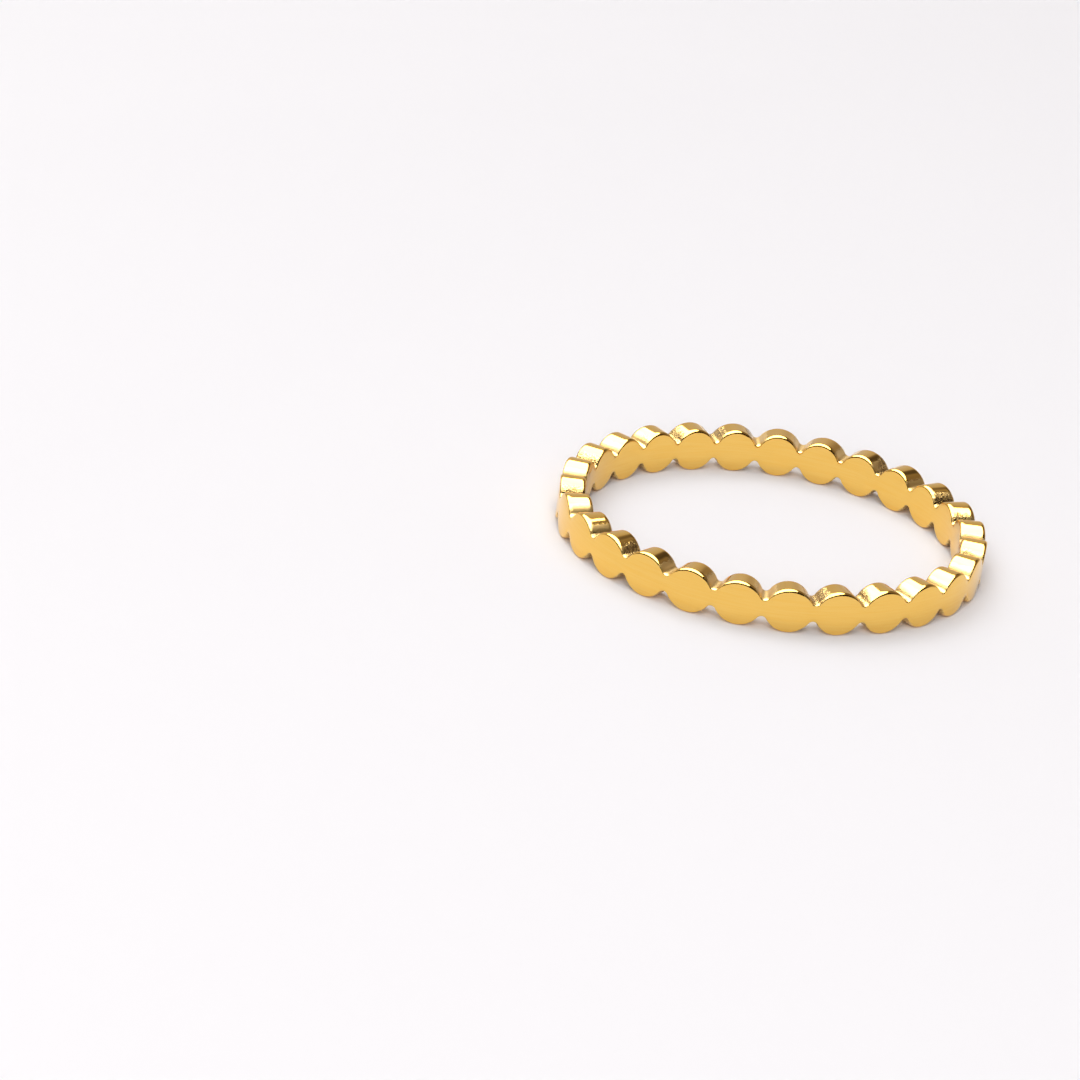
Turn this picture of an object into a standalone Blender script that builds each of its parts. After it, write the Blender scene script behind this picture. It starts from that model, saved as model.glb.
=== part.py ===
"""Stackable ring: one band of gold-tone metal whose two rims swell and pinch into a row of round discs.

Metres, +Z up. The ring lies on its side, as it rests on a table: +Z runs through the finger hole,
the origin is the middle of the ring at the level it rests on, and the middle of one disc faces +X.
Both rims are cut along straight lines to the ring's axis, so a disc covers the same angle on the
outer face and in the finger hole. Lengths along a rim are measured on the outer face.
"""

import math

import bmesh
import bpy

# Driving dimensions
INNER_DIAMETER = 0.01735  # finger hole, a common middle ring size
WALL = 0.00117  # metal from the finger hole to the outer face
DISC_COUNT = 27
DISC_HEIGHT = 0.00205  # a disc from its lower crown to its upper crown
NECK_HEIGHT = 0.00085  # metal left between two notches, where discs meet
NOTCH_RADIUS = 0.00024  # round bottom of a notch
CROWN_LAND = 0.0002  # short flat on top of each crown, which the ring rests on
CROWN_EDGE_RADIUS = 0.00013  # rims are polished roundest on the crowns
NOTCH_EDGE_RADIUS = 0.00011  # and stay a little sharper down in the notches

# Facets from the middle of a disc to the middle of a notch, and round one edge
DISC_STEPS = 5
NOTCH_STEPS = 2
EDGE_STEPS = 2

# Gold-tone polish
GOLD_COLOUR = (0.93, 0.58, 0.16, 1.0)
GOLD_ROUGHNESS = 0.18

# Sizes that follow
INNER_RADIUS = INNER_DIAMETER / 2
OUTER_RADIUS = INNER_RADIUS + WALL
PITCH_ANGLE = math.tau / DISC_COUNT
HALF_PITCH = OUTER_RADIUS * PITCH_ANGLE / 2
HALF_HEIGHT = DISC_HEIGHT / 2
HALF_NECK = NECK_HEIGHT / 2
JOIN_DISTANCE = 0.000001  # mirrored and repeated edges meet exactly, so this only absorbs rounding


def clear_scene():
    for old in list(bpy.data.objects):
        bpy.data.objects.remove(old, do_unlink=True)


def notch_point(slope):
    """Point on the round bottom of the notch where its side has this slope, from the disc's middle."""
    along = HALF_PITCH - NOTCH_RADIUS * math.sin(slope)
    height = HALF_NECK + NOTCH_RADIUS * (1 - math.cos(slope))
    return along, height


def disc_ellipse(slope):
    """Half length and half height of the ellipse that runs into the notch at this slope."""
    along, height = notch_point(slope)
    half_height = math.sqrt(height**2 + along * height * math.tan(slope))
    half_length = along / math.sqrt(1 - (height / half_height) ** 2)
    return half_length, half_height


def height_on_ellipse(ellipse, along):
    half_length, half_height = ellipse
    return half_height * math.sqrt(1 - (along / half_length) ** 2)


def flank_slope():
    """Slope between disc and notch for which the land on the crown lies at the disc's full height."""
    low = 0.01
    high = math.pi / 2 - 0.01
    for _ in range(50):
        slope = (low + high) / 2
        if height_on_ellipse(disc_ellipse(slope), CROWN_LAND / 2) < HALF_HEIGHT:
            low = slope
        else:
            high = slope
    return slope


def rim_outline():
    """Place along the rim and height over mid-band, from the middle of a disc to the middle of a notch."""
    slope = flank_slope()
    half_length, half_height = disc_ellipse(slope)
    meeting, _ = notch_point(slope)
    land_end = math.asin(CROWN_LAND / 2 / half_length)
    disc_end = math.asin(meeting / half_length)

    outline = [(0.0, HALF_HEIGHT)]
    for step in range(DISC_STEPS + 1):
        angle = land_end + (disc_end - land_end) * step / DISC_STEPS
        outline.append((half_length * math.sin(angle), half_height * math.cos(angle)))
    for step in range(1, NOTCH_STEPS + 1):
        outline.append(notch_point(slope * (1 - step / NOTCH_STEPS)))
    return outline


def edge_radius(height):
    """Rounding between rim and faces, which grows from the notch up to the crown."""
    share = (height - HALF_NECK) / (HALF_HEIGHT - HALF_NECK)
    return NOTCH_EDGE_RADIUS + (CROWN_EDGE_RADIUS - NOTCH_EDGE_RADIUS) * share


def half_section(height):
    """Radius and height of a cut through the upper half: finger hole, rounded rim, outer face."""
    rounding = edge_radius(height)
    turns = [math.pi / 2 * step / EDGE_STEPS for step in range(EDGE_STEPS + 1)]
    section = [(INNER_RADIUS, 0.0)]
    for turn in turns:
        radius = INNER_RADIUS + rounding * (1 - math.cos(turn))
        section.append((radius, height - rounding * (1 - math.sin(turn))))
    for turn in reversed(turns):
        radius = OUTER_RADIUS - rounding * (1 - math.cos(turn))
        section.append((radius, height - rounding * (1 - math.sin(turn))))
    section.append((OUTER_RADIUS, 0.0))
    return section


def quarter_disc():
    """Upper half of a disc from its middle to the next notch: a grid wrapped round the sections."""
    outline = rim_outline()
    sections = [half_section(height) for _, height in outline]
    rows = len(outline)
    columns = len(sections[0])

    mesh = bpy.data.meshes.new("scalloped_band")
    surface = bmesh.new()
    bmesh.ops.create_grid(surface, x_segments=columns - 1, y_segments=rows - 1, size=1.0)
    for vertex in surface.verts:
        column = round((vertex.co.x + 1) / 2 * (columns - 1))
        row = round((vertex.co.y + 1) / 2 * (rows - 1))
        angle = outline[row][0] / OUTER_RADIUS
        radius, height = sections[row][column]
        vertex.co = (radius * math.cos(angle), radius * math.sin(angle), height)
    surface.to_mesh(mesh)
    surface.free()
    mesh.shade_smooth()
    return mesh


def gold_material():
    material = bpy.data.materials.new("polished_gold")
    material.use_nodes = True
    shader = material.node_tree.nodes["Principled BSDF"]
    shader.inputs["Base Color"].default_value = GOLD_COLOUR
    shader.inputs["Metallic"].default_value = 1.0
    shader.inputs["Roughness"].default_value = GOLD_ROUGHNESS
    return material


def build_ring():
    """One quarter disc, mirrored into a whole disc and repeated round the finger hole."""
    collection = bpy.data.collections.new("stackable_ring")
    bpy.context.scene.collection.children.link(collection)

    next_disc = bpy.data.objects.new("next_disc", None)
    next_disc.location.z = HALF_HEIGHT
    next_disc.rotation_euler.z = PITCH_ANGLE
    next_disc.empty_display_size = INNER_RADIUS
    collection.objects.link(next_disc)

    band = bpy.data.objects.new("scalloped_band", quarter_disc())
    band.location.z = HALF_HEIGHT
    band.data.materials.append(gold_material())
    collection.objects.link(band)

    mirror = band.modifiers.new("whole_disc", "MIRROR")
    mirror.use_axis = (False, True, True)
    mirror.merge_threshold = JOIN_DISTANCE

    repeat = band.modifiers.new("discs", "ARRAY")
    repeat.fit_type = "FIXED_COUNT"
    repeat.count = DISC_COUNT
    repeat.use_relative_offset = False
    repeat.use_object_offset = True
    repeat.offset_object = next_disc
    repeat.use_merge_vertices = True
    repeat.use_merge_vertices_cap = True
    repeat.merge_threshold = JOIN_DISTANCE


def main():
    clear_scene()
    build_ring()


main()
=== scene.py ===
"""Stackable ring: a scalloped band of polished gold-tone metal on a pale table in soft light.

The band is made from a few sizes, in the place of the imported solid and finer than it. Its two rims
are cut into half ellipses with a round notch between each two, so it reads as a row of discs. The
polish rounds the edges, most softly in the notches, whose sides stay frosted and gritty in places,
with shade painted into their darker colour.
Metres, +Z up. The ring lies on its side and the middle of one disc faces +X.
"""

import math

import bmesh
import bpy
import numpy as np
from bpy.props import FloatProperty, FloatVectorProperty, IntProperty, PointerProperty
from bpy.types import Operator, Panel, PropertyGroup
from mathutils import Matrix, Vector, noise


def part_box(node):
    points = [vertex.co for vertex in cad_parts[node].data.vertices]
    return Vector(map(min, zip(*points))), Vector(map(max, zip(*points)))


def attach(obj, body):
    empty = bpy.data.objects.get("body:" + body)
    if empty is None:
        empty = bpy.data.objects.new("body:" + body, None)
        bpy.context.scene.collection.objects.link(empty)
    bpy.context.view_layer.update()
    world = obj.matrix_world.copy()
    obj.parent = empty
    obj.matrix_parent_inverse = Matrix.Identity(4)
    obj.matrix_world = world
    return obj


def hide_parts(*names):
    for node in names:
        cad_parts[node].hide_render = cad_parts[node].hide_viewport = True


bl_info = {
    "name": "Stackable Ring",
    "version": (1, 0, 0),
    "blender": (4, 5, 0),
    "location": "3D View > Sidebar > Ring",
    "description": "Makes a scalloped stacking ring in polished gold tone, "
    "and a table and soft light to show it",
    "category": "Object",
}

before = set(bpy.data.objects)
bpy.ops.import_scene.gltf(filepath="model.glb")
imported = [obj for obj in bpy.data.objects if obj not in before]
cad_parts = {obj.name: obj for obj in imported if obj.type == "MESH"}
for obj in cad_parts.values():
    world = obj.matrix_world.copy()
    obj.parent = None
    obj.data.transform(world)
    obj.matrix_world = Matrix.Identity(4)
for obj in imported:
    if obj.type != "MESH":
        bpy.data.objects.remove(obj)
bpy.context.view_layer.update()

NODE = "scalloped_band"
BAND_LOW, BAND_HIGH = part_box(NODE)

# Columns of the mesh from a crown to a notch, and rows over the upper half of a section
ELLIPSE_COLUMNS = 20
NOTCH_COLUMNS = 10
FACE_ROWS = 2
EDGE_ROWS = 6
RIM_ROWS = 14

# Shape of the edges and the rim
SLOPE_HALVINGS = 50  # steps that narrow down where a disc runs into a notch
FLARE_CURVE = 0.5  # power of the way up from the neck by which an edge goes from flared to crisp
EDGE_FADE = 0.25  # power of the edge's rise by which the frosting sets in over it

# Wear that the mesh carries; widths in metres
RIPPLE_WIDTH = 0.0009
FROST_SEED = 5
FROST_RISE = 0.14  # share of the way from crown to notch over which the frosting sets in
RAGGED_REACH = 0.06  # share of that way by which the frosting's border wanders
RAGGED_WIDTH = 0.0002
SKIN_WIDTH = 0.00016
FINE_SKIN_WIDTH = 0.00009
FINE_SKIN = 0.5  # height of the skin's finer swells against the wider ones
SMOOTH_SKIN = 0.25  # height of the skin where the frosting isn't gritty, against where it is
GRIT_SHIFT = 893.2  # where in the noise the gritty patches are taken from
GRIT_NOISE = (-0.1, 0.2)  # noise at which grit begins, and at which it is full
GRIT_LEAD = 0.1  # how much nearer the crown the frosting begins where it is gritty
GRIT_FADE = 3  # power of the share of rim by which grit fades over the edges

# Wear, and shade painted into the frosting's pits, that the gold's shader adds; scales in swells per
# metre along X, Y and Z
CLOUD_SCALE = (400.0, 400.0, 400.0)
STREAK_SCALE = (500.0, 500.0, 12000.0)
STREAK_NOISE = (0.25, 0.75)  # noise of the darkest streaks and of the brightest
CLEAR_POLISH = 0.7  # roughness of the clearest polish, against the finish's own
CLOUDED_POLISH = 0.6  # how much more the clouds add to it
# Painted shade: below the first grain value the gritty frosting's pits take the dark pit colour,
# which fades out by the second
PIT_SHADE_NOISE = (0.42, 0.6)  # grain at the bottom of a pit and at its rim
SMOOTH_FROST = 1.6  # roughness of frosting that isn't gritty, against gritty frosting
SMOOTH_GRAIN = 0.15  # depth of its grain, against gritty frosting
TOOL_MARK_DEPTH = 0.6  # depth of the tool marks against the grain
TOOL_MARK_LENGTH = 7  # how many grains long a tool mark is, across the wall

# Table, light and camera; metres
TABLE_REACH = 3.0
TABLE_CLOUDS = (25.0, 25.0, 25.0)  # swells per metre
TABLE_SHADE = 0.985  # the table's darker clouds against its colour
TABLE_ROUGHNESS = 0.7
TABLE_SPECULAR = 0.2
PANEL_TINT = (1.0, 0.985, 0.96, 1.0)
MIRRORED_ONCE = 1.5  # under this ray depth, light has met the metal once
CARD_PLACE = (0.0, -0.8, 0.5)
CARD_SIZE = 0.8
SENSOR_WIDTH = 36.0  # millimetres
CLIP_RANGE = (0.01, 20.0)

# The room, by direction; two numbers say where a change begins and where it is full
ROOM_BEHIND = (-0.15, 0.3)
FADE_RIGHT = (-0.1, 0.6)
FADE_UP = (0.1, 0.4)
GAP_TOWARDS = (0.32, 0.72, 0.616)  # the dark gap between the wall and the panel
GAP_COSINE = (0.97, 0.9976)
GAP_DARKNESS = 0.75
WALL_TINT = (1.0, 0.94, 0.93, 1.0)
ROOM_TINT = (1.0, 0.8, 0.68, 1.0)


def length(name, description, default):
    """A size in metres, shown in the unit of the scene."""
    return FloatProperty(
        name=name, description=description, default=default, min=0.0, precision=5, unit="LENGTH"
    )


def position(name, description, default):
    """A place along one axis in metres, on either side of zero."""
    return FloatProperty(name=name, description=description, default=default, unit="LENGTH")


def share(name, description, default):
    return FloatProperty(
        name=name, description=description, default=default, min=0.0, max=1.0, subtype="FACTOR"
    )


def angle(name, description, degrees):
    return FloatProperty(
        name=name, description=description, default=math.radians(degrees), subtype="ANGLE"
    )


def colour(name, description, default):
    return FloatVectorProperty(
        name=name,
        description=description,
        default=default,
        size=3,
        min=0.0,
        max=1.0,
        subtype="COLOR",
    )


def amount(name, description, default):
    return FloatProperty(name=name, description=description, default=default, min=0.0)


def power(name, description, default):
    return FloatProperty(name=name, description=description, default=default, unit="POWER")


class BandShape(PropertyGroup):
    """Sizes of the scalloped band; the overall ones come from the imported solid."""

    outer_radius: length("Outer Radius", "Ring's axis to the outer face", BAND_HIGH.x)
    disc_height: length(
        "Disc Height", "Lower crown to upper crown of a disc", BAND_HIGH.z - BAND_LOW.z
    )
    wall: length("Wall", "Metal from the finger hole to the outer face", 0.00117)
    disc_count: IntProperty(name="Discs", description="Discs round the band", default=27, min=3)
    neck_height: length("Neck Height", "Metal left between two notches", 0.00085)
    notch_radius: length("Notch Radius", "Round bottom of a notch", 0.00024)
    crown_edge: length("Crown Edge", "How far down the crowns' edges are rounded", 0.000125)
    crown_flare: length(
        "Crown Flare", "How far into the wall the crowns' edges are rounded", 0.00017
    )
    notch_edge: length("Notch Edge", "How far down the notches' edges are rounded", 0.00008)
    notch_flare: length(
        "Notch Flare", "How far into the wall the notches' edges are rounded", 0.00026
    )
    frost_relief: length("Frost Relief", "Depth of the rough casting skin in the notches", 0.000004)
    polish_ripple: length(
        "Polish Ripple", "Depth of the slow ripple left by hand polishing", 0.0000016
    )


class GoldFinish(PropertyGroup):
    """Colour and polish of the plated metal, with shade painted into the colour of the frosted
    notches and their pits.
    """

    gold: colour("Gold", "Colour of the polished plating", (1.0, 0.64, 0.163))
    deep_gold: colour(
        "Deep Gold", "Colour of the polished plating in its darker streaks", (0.985, 0.6, 0.13)
    )
    # Partly painted shade: the frosted colour is darker and duller than the polish, shading the
    # notches as well as showing the frosting
    frost_gold_and_notch_shade: colour(
        "Pale Gold", "Colour of the frosted plating in the notches", (0.85, 0.59, 0.23)
    )
    # Painted shade: a dark brown laid into the pits of the gritty frosting, standing in for the
    # shade in its hollows
    painted_pit_shade: colour("Pit Gold", "Colour in the pits of the gritty frosting", (0.38, 0.24, 0.08))
    polish: share("Polish Roughness", "Roughness of the polished faces and crowns", 0.06)
    frost: share("Frost Roughness", "Roughness of the gritty frosting on the notch sides", 0.22)
    frost_start: share(
        "Frost Start", "Share of the way from crown to notch where the frosting begins", 0.56
    )
    frost_spread: share("Frost Spread", "How much that place differs from notch to notch", 0.10)
    grit_patch: length("Grit Patch", "Width of the patches where the frosting is gritty", 0.002)
    grain_size: length("Grain Size", "Width of one grain of the frosting", 0.00009)
    grain_depth: length("Grain Depth", "Depth of the frosting's fine grain", 0.000024)
    hairline_depth: length(
        "Hairline Depth", "Depth of the polishing lines round the faces", 0.0000003
    )


class Studio(PropertyGroup):
    """Table, light and camera."""

    table: colour("Table", "Colour of the table", (0.90, 0.894, 0.922))
    panel_height: length("Panel Height", "Height of the light panel over the table", 0.5)
    panel_across: length("Panel Width", "Short axis of the oval light panel", 0.77)
    panel_along: length("Panel Length", "Long axis of the oval light panel", 1.05)
    panel_x: position("Panel X", "Middle of the light panel", -0.229)
    panel_y: position("Panel Y", "Middle of the light panel", 0.147)
    panel_turn: angle("Panel Turn", "Turn of the light panel about the vertical", 43.8)
    panel_glow: amount(
        "Panel Glow", "Brightness of the panel where the metal mirrors it directly", 6.2
    )
    panel_fill: amount("Panel Fill", "Brightness of the panel after more than one bounce", 1.8)
    softbox_power: power("Softbox Power", "Light that the panel throws on the table", 2.08)
    fill_power: power("Fill Power", "Light that a card in front throws on the table", 7.6)
    horizon_glow: amount("Horizon Glow", "Brightness of the wall behind the ring", 0.57)
    room_glow: amount("Room Glow", "Brightness of the wall where it has faded at the right", 0.2)
    front_glow: amount("Front Glow", "Brightness of the room in front of the ring", 0.03)
    camera_lens: FloatProperty(
        name="Lens", description="Focal length of the camera", default=147.6, unit="CAMERA"
    )
    camera_distance: length("Camera Distance", "Camera to the middle of the ring", 0.20276)
    camera_bearing: angle(
        "Camera Bearing", "Direction of the camera from the ring, from +X towards +Y", -88.32
    )
    camera_rise: angle("Camera Rise", "Height of the camera over the ring's plane", 21.9)
    camera_roll: angle("Camera Roll", "Lean of the camera about its line of sight", 8.46)
    aim_x: position("Aim X", "Point of the table at the picture's middle", -0.010019)
    aim_y: position("Aim Y", "Point of the table at the picture's middle", -0.004275)


class Field:
    """A shader socket as a term of a formula, whose operators add the Math nodes that it needs."""

    def __init__(self, socket):
        self.socket = socket

    @classmethod
    def node(cls, tree, kind, settings, sockets, output=0):
        """Adds a node, makes its settings, then fills its sockets with values or links."""
        made = tree.nodes.new(kind)
        for name, value in settings.items():
            setattr(made, name, value)
        for name, value in sockets.items():
            if isinstance(value, Field):
                tree.links.new(value.socket, made.inputs[name])
            else:
                made.inputs[name].default_value = value
        return cls(made.outputs[output])

    def math(self, operation, first, second):
        tree = self.socket.id_data
        return Field.node(tree, "ShaderNodeMath", {"operation": operation}, {0: first, 1: second})

    def __add__(self, other):
        return self.math("ADD", self, other)

    def __radd__(self, other):
        return self.math("ADD", other, self)

    def __sub__(self, other):
        return self.math("SUBTRACT", self, other)

    def __rsub__(self, other):
        return self.math("SUBTRACT", other, self)

    def __mul__(self, other):
        return self.math("MULTIPLY", self, other)

    def __rmul__(self, other):
        return self.math("MULTIPLY", other, self)

    def __pow__(self, other):
        return self.math("POWER", self, other)

    def __lt__(self, other):
        return self.math("LESS_THAN", self, other)


def attribute(tree, name):
    return Field.node(tree, "ShaderNodeAttribute", {"attribute_name": name}, {}, output="Fac")


def smooth_step(tree, value, low, high):
    """0 below low, 1 above high, and a smooth rise between them."""
    return Field.node(
        tree,
        "ShaderNodeMapRange",
        {"interpolation_type": "SMOOTHSTEP"},
        {"Value": value, "From Min": low, "From Max": high},
    )


def mix_colours(tree, factor, first, second):
    return Field.node(
        tree, "ShaderNodeMix", {"data_type": "RGBA"}, {0: factor, 6: first, 7: second}, output=2
    )


def parts_of(tree, vector):
    """The X, Y and Z of a vector."""
    return [
        Field.node(tree, "ShaderNodeSeparateXYZ", {}, {"Vector": vector}, output=axis)
        for axis in "XYZ"
    ]


def unrolled(tree, place):
    """The place as distance round the outer face, distance from the ring's axis, and height."""
    x, y, z = parts_of(tree, place)
    radius = (x * x + y * y) ** 0.5
    around = y.math("ARCTAN2", y, x) * BAND_HIGH.x
    return Field.node(tree, "ShaderNodeCombineXYZ", {}, {"X": around, "Y": radius, "Z": z})


def grain(tree, place, scale, detail, roughness):
    """Noise at the place, with so many swells per metre along each axis."""
    scaled = Field.node(
        tree, "ShaderNodeVectorMath", {"operation": "MULTIPLY"}, {0: place, 1: scale}
    )
    return Field.node(
        tree,
        "ShaderNodeTexNoise",
        {},
        {"Vector": scaled, "Scale": 1.0, "Detail": detail, "Roughness": roughness},
    )


def notch_point(shape, slope):
    """Distance along the rim and height over mid-band of the notch's bottom where it slopes so."""
    half_pitch = math.pi * shape.outer_radius / shape.disc_count
    along = half_pitch - shape.notch_radius * math.sin(slope)
    height = shape.neck_height / 2 + shape.notch_radius * (1 - math.cos(slope))
    return along, height


def flank_slope(shape):
    """Slope at which the disc's ellipse runs smoothly into the notch."""
    crown = shape.disc_height / 2
    low = 0.0
    high = math.pi / 2
    for _ in range(SLOPE_HALVINGS):
        slope = (low + high) / 2
        along, height = notch_point(shape, slope)
        if along * height * math.tan(slope) < crown**2 - height**2:
            low = slope
        else:
            high = slope
    return slope


def half_rim(shape):
    """Distances along the rim and heights over mid-band of the columns from a crown to a notch."""
    slope = flank_slope(shape)
    meeting, height = notch_point(shape, slope)
    crown = shape.disc_height / 2
    ellipse_end = math.acos(height / crown)
    ellipse = np.linspace(0.0, ellipse_end, ELLIPSE_COLUMNS + 1)
    bottom = np.linspace(slope, 0.0, NOTCH_COLUMNS + 1)[1:]
    notch = np.array([notch_point(shape, turn) for turn in bottom])
    along = np.concatenate([np.sin(ellipse) * meeting / math.sin(ellipse_end), notch[:, 0]])
    heights = np.concatenate([np.cos(ellipse) * crown, notch[:, 1]])
    return along, heights


def whole_rim(shape):
    """Angle, height and share of the way from crown to notch of each column, all round the ring."""
    along, heights = half_rim(shape)
    to_notch = along / along[-1]
    disc_angles = np.concatenate([-along[:0:-1], along[:-1]]) / shape.outer_radius
    disc_heights = np.concatenate([heights[:0:-1], heights[:-1]])
    disc_shares = np.concatenate([to_notch[:0:-1], to_notch[:-1]])
    turns = np.arange(shape.disc_count) * math.tau / shape.disc_count
    angles = (turns[:, None] + disc_angles[None, :]).ravel()
    return angles, np.tile(disc_heights, shape.disc_count), np.tile(disc_shares, shape.disc_count)


def upper_section(shape, heights):
    """Radius, height and share of rim of each column's points, from finger hole to outer face."""
    outer = shape.outer_radius
    inner = outer - shape.wall
    neck = shape.neck_height / 2
    height = heights[:, None]
    rise_share = (height - neck) / (shape.disc_height / 2 - neck)
    edge = shape.notch_edge + (shape.crown_edge - shape.notch_edge) * rise_share
    flare = shape.notch_flare + (shape.crown_flare - shape.notch_flare) * rise_share**FLARE_CURVE
    turn = np.linspace(0.0, math.pi / 2, EDGE_ROWS + 1)[None, :]
    face = np.linspace(0.0, 1.0, FACE_ROWS + 1)[None, :-1]
    across = np.linspace(0.0, 1.0, RIM_ROWS + 1)[None, 1:-1]

    face_heights = (height - edge) * face
    edge_heights = height - edge * (1 - np.sin(turn))
    edge_depths = flare * (1 - np.cos(turn))
    rim_radii = inner + flare + (shape.wall - 2 * flare) * across
    radius = np.hstack(
        [
            np.full_like(face_heights, inner),
            inner + edge_depths,
            rim_radii,
            (outer - edge_depths)[:, ::-1],
            np.full_like(face_heights, outer),
        ]
    )
    rise = np.hstack(
        [
            face_heights,
            edge_heights,
            np.repeat(height, RIM_ROWS - 1, axis=1),
            edge_heights[:, ::-1],
            face_heights[:, ::-1],
        ]
    )
    edge_share = np.sin(turn) ** EDGE_FADE * np.ones_like(edge)
    on_rim = np.hstack(
        [
            np.zeros_like(face_heights),
            edge_share,
            np.ones_like(rim_radii),
            edge_share[:, ::-1],
            np.zeros_like(face_heights),
        ]
    )
    return radius, rise, on_rim


def closed_section(upper, sign):
    """The upper half of each section, then its mirror image back to the start."""
    lower = sign * upper[:, -2:0:-1]
    return np.hstack([upper, lower])


def band_mesh(shape):
    """Columns of section points round the ring, joined into one closed skin of quads."""
    angles, heights, to_notch = whole_rim(shape)
    radius, rise, on_rim = upper_section(shape, heights)
    radius = closed_section(radius, 1)
    rise = closed_section(rise, -1) + shape.disc_height / 2
    on_rim = closed_section(on_rim, 1)

    columns, rows = radius.shape
    points = np.stack(
        [radius * np.cos(angles)[:, None], radius * np.sin(angles)[:, None], rise], axis=-1
    )
    here = np.arange(columns * rows).reshape(columns, rows)
    next_column = np.roll(here, -1, axis=0)
    quads = np.stack(
        [here, np.roll(here, -1, axis=1), np.roll(next_column, -1, axis=1), next_column], axis=-1
    )
    mesh = bpy.data.meshes.new("polished_band")
    mesh.from_pydata(points.reshape(-1, 3).tolist(), [], quads.reshape(-1, 4).tolist())
    mesh.shade_smooth()
    return mesh, on_rim.ravel(), np.repeat(to_notch, rows)


def smooth_share(value, low, high):
    share_of_way = np.clip((value - low) / (high - low), 0.0, 1.0)
    return share_of_way**2 * (3 - 2 * share_of_way)


def noise_at(points, size, shift=0.0):
    """Smooth noise from -1 to 1 at each point, with swells about as wide as size."""
    start = Vector((0.0, 0.0, shift))
    return np.array([noise.noise(Vector(point) / size + start) for point in points])


def frost_offsets(points, shape, finish):
    """How much later than usual the frosting starts at each point, by a draw for each notch."""
    spread = finish.frost_spread
    draws = np.random.default_rng(FROST_SEED).uniform(-spread, spread, (2, shape.disc_count))
    upper = (points[:, 2] > shape.disc_height / 2).astype(int)
    turns = np.arctan2(points[:, 1], points[:, 0]) / math.tau * shape.disc_count
    return draws[upper, np.floor(turns).astype(int) % shape.disc_count]


def wear_band(mesh, shape, finish, on_rim, to_notch):
    """Pushes the skin in and out for ripple and frosting, and keeps both masks for the shader."""
    count = len(mesh.vertices)
    points = np.zeros(count * 3)
    normals = np.zeros(count * 3)
    mesh.vertices.foreach_get("co", points)
    mesh.vertex_normals.foreach_get("vector", normals)
    points = points.reshape(-1, 3)
    normals = normals.reshape(-1, 3)

    patches = noise_at(points, finish.grit_patch, GRIT_SHIFT)
    grit = on_rim**GRIT_FADE * smooth_share(patches, *GRIT_NOISE)
    wander = RAGGED_REACH * noise_at(points, RAGGED_WIDTH)
    ragged = to_notch + wander - frost_offsets(points, shape, finish)
    frost_start = finish.frost_start - GRIT_LEAD * grit
    frost = on_rim * smooth_share(ragged, frost_start, frost_start + FROST_RISE)
    ripple = shape.polish_ripple * noise_at(points, RIPPLE_WIDTH)
    swells = noise_at(points, SKIN_WIDTH) + FINE_SKIN * noise_at(points, FINE_SKIN_WIDTH)
    skin = shape.frost_relief * swells
    roughened = frost * (SMOOTH_SKIN + (1 - SMOOTH_SKIN) * grit)
    points += normals * (ripple + roughened * skin)[:, None]

    mesh.vertices.foreach_set("co", points.ravel())
    for name, values in (("frost", frost), ("grit", grit)):
        stored = mesh.attributes.new(name, "FLOAT", "POINT")
        stored.data.foreach_set("value", values)
    mesh.update()


def gold_material(finish):
    """Gold-tone plating: a bright polish streaked round the faces, and frosted notch sides whose
    darker colour and dark pits are partly painted shade.
    """
    material = bpy.data.materials.new("polished_gold")
    material.use_nodes = True
    tree = material.node_tree
    shader = tree.nodes["Principled BSDF"]
    place = Field.node(tree, "ShaderNodeTexCoord", {}, {}, output="Object")

    frost = attribute(tree, "frost")
    grit = attribute(tree, "grit")
    around = unrolled(tree, place)
    per_grain = 1 / finish.grain_size
    mark_scale = (per_grain, per_grain / TOOL_MARK_LENGTH, per_grain)
    fine = grain(tree, place, (per_grain,) * 3, detail=3.0, roughness=0.6)
    tool_marks = grain(tree, around, mark_scale, detail=2.0, roughness=0.5)
    clouds = grain(tree, place, CLOUD_SCALE, detail=3.0, roughness=0.5)
    lines = grain(tree, place, STREAK_SCALE, detail=3.0, roughness=0.6)

    # Painted shade in the pits: where the grit mask is full, the low grain gets the dark pit colour
    # and the peaks get the frosted colour
    unshaded_peaks = 1 - grit * (1 - smooth_step(tree, fine, *PIT_SHADE_NOISE))
    frosting = mix_colours(tree, unshaded_peaks, (*finish.painted_pit_shade, 1.0), (*finish.frost_gold_and_notch_shade, 1.0))
    streaks = smooth_step(tree, lines, *STREAK_NOISE)
    polished = mix_colours(tree, streaks, (*finish.deep_gold, 1.0), (*finish.gold, 1.0))
    # Over the frost mask the colour turns to the frosted one, which is partly painted shade in the
    # notches
    tone = mix_colours(tree, frost, polished, frosting)
    tree.links.new(tone.socket, shader.inputs["Base Color"])
    polish = finish.polish * (CLEAR_POLISH + CLOUDED_POLISH * clouds)
    frosted = finish.frost * (SMOOTH_FROST - (SMOOTH_FROST - 1) * grit)
    roughness = polish * (1 - frost) + frosted * frost
    tree.links.new(roughness.socket, shader.inputs["Roughness"])
    shader.inputs["Metallic"].default_value = 1.0

    marked = fine + TOOL_MARK_DEPTH * tool_marks
    rough = marked * (SMOOTH_GRAIN + (1 - SMOOTH_GRAIN) * grit) * finish.grain_depth
    height = frost * rough + (1 - frost) * lines * finish.hairline_depth
    bump = Field.node(
        tree, "ShaderNodeBump", {}, {"Strength": 1.0, "Distance": 1.0, "Height": height}
    )
    tree.links.new(bump.socket, shader.inputs["Normal"])
    return material


def new_object(name, mesh):
    made = bpy.data.objects.new(name, mesh)
    bpy.context.scene.collection.objects.link(made)
    return made


def mesh_from(name, sheet):
    mesh = bpy.data.meshes.new(name)
    sheet.to_mesh(mesh)
    sheet.free()
    return mesh


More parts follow.
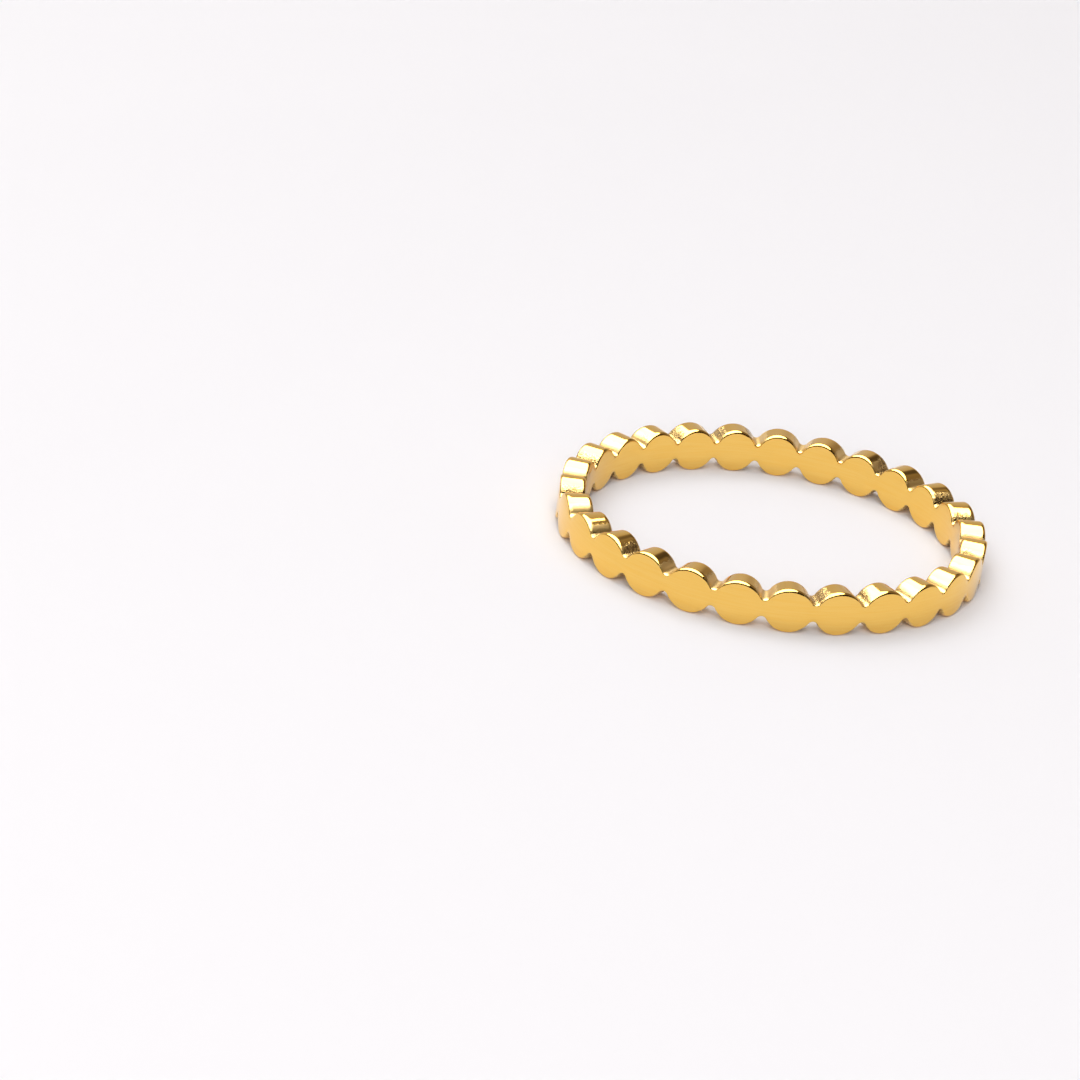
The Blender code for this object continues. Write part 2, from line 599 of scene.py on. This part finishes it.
def table_material(studio):
    material = bpy.data.materials.new("pale_table")
    material.use_nodes = True
    tree = material.node_tree
    shader = tree.nodes["Principled BSDF"]
    place = Field.node(tree, "ShaderNodeTexCoord", {}, {}, output="Object")
    clouds = grain(tree, place, TABLE_CLOUDS, detail=3.0, roughness=0.5)
    darker = [TABLE_SHADE * part for part in studio.table]
    tone = mix_colours(tree, clouds, (*darker, 1.0), (*studio.table, 1.0))
    tree.links.new(tone.socket, shader.inputs["Base Color"])
    shader.inputs["Roughness"].default_value = TABLE_ROUGHNESS
    shader.inputs["Specular IOR Level"].default_value = TABLE_SPECULAR
    return material


def make_table(studio):
    sheet = bmesh.new()
    bmesh.ops.create_grid(sheet, x_segments=8, y_segments=8, size=TABLE_REACH)
    table = new_object("table", mesh_from("table", sheet))
    table.data.materials.append(table_material(studio))


def glow_material(studio):
    """Light of the panel: bright where the metal mirrors it directly, dimmer after more bounces."""
    material = bpy.data.materials.new("panel_glow")
    material.use_nodes = True
    tree = material.node_tree
    tree.nodes.clear()
    output = tree.nodes.new("ShaderNodeOutputMaterial")
    bounces = Field.node(tree, "ShaderNodeLightPath", {}, {}, output="Ray Depth")
    first = bounces < MIRRORED_ONCE
    strength = studio.panel_fill + (studio.panel_glow - studio.panel_fill) * first
    glow = Field.node(tree, "ShaderNodeEmission", {}, {"Color": PANEL_TINT, "Strength": strength})
    tree.links.new(glow.socket, output.inputs["Surface"])
    return material


def add_softbox(name, place, across, along, watts):
    """A soft light that shines on the table and isn't itself mirrored in the metal."""
    light = bpy.data.lights.new(name, "AREA")
    light.shape = "ELLIPSE"
    light.size = across
    light.size_y = along
    light.energy = watts
    softbox = new_object(name, light)
    softbox.matrix_world = place
    softbox.visible_glossy = False
    softbox.visible_camera = False


def make_lights(studio):
    """A bright oval panel for the metal to mirror, and soft light on the table from two sides."""
    place = Matrix.Translation((studio.panel_x, studio.panel_y, studio.panel_height))
    place = place @ Matrix.Rotation(studio.panel_turn, 4, "Z")
    sheet = bmesh.new()
    bmesh.ops.create_circle(sheet, cap_ends=True, segments=96, radius=0.5)
    bmesh.ops.scale(sheet, vec=(studio.panel_across, studio.panel_along, 1.0), verts=sheet.verts)
    panel = new_object("light_panel", mesh_from("light_panel", sheet))
    panel.matrix_world = place
    panel.data.materials.append(glow_material(studio))
    panel.visible_camera = False
    panel.visible_diffuse = False
    panel.visible_shadow = False

    add_softbox("softbox", place, studio.panel_across, studio.panel_along, studio.softbox_power)
    stand = Vector(CARD_PLACE)
    turn = (-stand).to_track_quat("-Z", "Y").to_matrix().to_4x4()
    card_place = Matrix.Translation(stand) @ turn
    add_softbox("fill_card", card_place, CARD_SIZE, CARD_SIZE, studio.fill_power)


def make_room(studio):
    """A pale wall behind the ring that fades to the right, and a dark room in front."""
    world = bpy.data.worlds.new("room")
    world.use_nodes = True
    bpy.context.scene.world = world
    tree = world.node_tree
    background = tree.nodes["Background"]
    place = Field.node(tree, "ShaderNodeTexCoord", {}, {}, output="Generated")
    right, back, up = parts_of(tree, place)
    behind = smooth_step(tree, back, *ROOM_BEHIND)
    faded = smooth_step(tree, right, *FADE_RIGHT) * smooth_step(tree, up, *FADE_UP)
    towards_gap = GAP_TOWARDS[0] * right + GAP_TOWARDS[1] * back + GAP_TOWARDS[2] * up
    gap = smooth_step(tree, towards_gap, *GAP_COSINE)
    wall = studio.horizon_glow - faded * (studio.horizon_glow - studio.room_glow)
    lit_wall = wall * (1 - GAP_DARKNESS * gap)
    strength = studio.front_glow + behind * (lit_wall - studio.front_glow)
    tree.links.new(strength.socket, background.inputs["Strength"])
    lit = behind * (1 - faded) * (1 - gap)
    tone = mix_colours(tree, lit, ROOM_TINT, WALL_TINT)
    tree.links.new(tone.socket, background.inputs["Color"])


def make_camera(studio):
    bearing = Vector((math.cos(studio.camera_bearing), math.sin(studio.camera_bearing), 0.0))
    rise = Vector((0.0, 0.0, math.sin(studio.camera_rise)))
    middle = Vector((0.0, 0.0, (BAND_LOW.z + BAND_HIGH.z) / 2))
    place = middle + studio.camera_distance * (bearing * math.cos(studio.camera_rise) + rise)
    aim = Vector((studio.aim_x, studio.aim_y, 0.0))
    turn = (aim - place).to_track_quat("-Z", "Y").to_matrix().to_4x4()

    data = bpy.data.cameras.new("camera")
    data.sensor_width = SENSOR_WIDTH
    data.lens = studio.camera_lens
    data.clip_start, data.clip_end = CLIP_RANGE
    camera = new_object("camera", data)
    roll = Matrix.Rotation(studio.camera_roll, 4, "Z")
    camera.matrix_world = Matrix.Translation(place) @ turn @ roll
    bpy.context.scene.camera = camera


class RING_OT_scalloped_band(Operator):
    """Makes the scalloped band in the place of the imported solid"""

    bl_idname = "ring.scalloped_band"
    bl_label = "Scalloped Band"

    def execute(self, context):
        shape = context.scene.ring_shape
        finish = context.scene.ring_finish
        mesh, on_rim, to_notch = band_mesh(shape)
        wear_band(mesh, shape, finish, on_rim, to_notch)
        mesh.materials.append(gold_material(finish))
        band = new_object("polished_band", mesh)
        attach(band, "root")
        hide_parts(NODE)
        return {"FINISHED"}


class RING_OT_studio(Operator):
    """Sets the table, the light and the camera"""

    bl_idname = "ring.studio"
    bl_label = "Studio"

    def execute(self, context):
        studio = context.scene.ring_studio
        make_table(studio)
        make_lights(studio)
        make_room(studio)
        make_camera(studio)
        context.scene.view_settings.view_transform = "Standard"
        return {"FINISHED"}


class RING_PT_sidebar(Panel):
    """Sizes, finish and light of the ring"""

    bl_label = "Stackable Ring"
    bl_space_type = "VIEW_3D"
    bl_region_type = "UI"
    bl_category = "Ring"

    def draw(self, context):
        scene = context.scene
        for group, operator in (
            (scene.ring_shape, None),
            (scene.ring_finish, RING_OT_scalloped_band.bl_idname),
            (scene.ring_studio, RING_OT_studio.bl_idname),
        ):
            column = self.layout.column()
            for name in group.__annotations__:
                column.prop(group, name)
            if operator:
                column.operator(operator)


GROUPS = {"ring_shape": BandShape, "ring_finish": GoldFinish, "ring_studio": Studio}
CLASSES = (*GROUPS.values(), RING_OT_scalloped_band, RING_OT_studio, RING_PT_sidebar)


def register():
    for each in CLASSES:
        bpy.utils.register_class(each)
    for name, group in GROUPS.items():
        setattr(bpy.types.Scene, name, PointerProperty(type=group))


def unregister():
    for name in GROUPS:
        delattr(bpy.types.Scene, name)
    for each in reversed(CLASSES):
        bpy.utils.unregister_class(each)


def main():
    register()
    bpy.ops.ring.studio()
    bpy.ops.ring.scalloped_band()


if __name__ == "__main__":
    main()
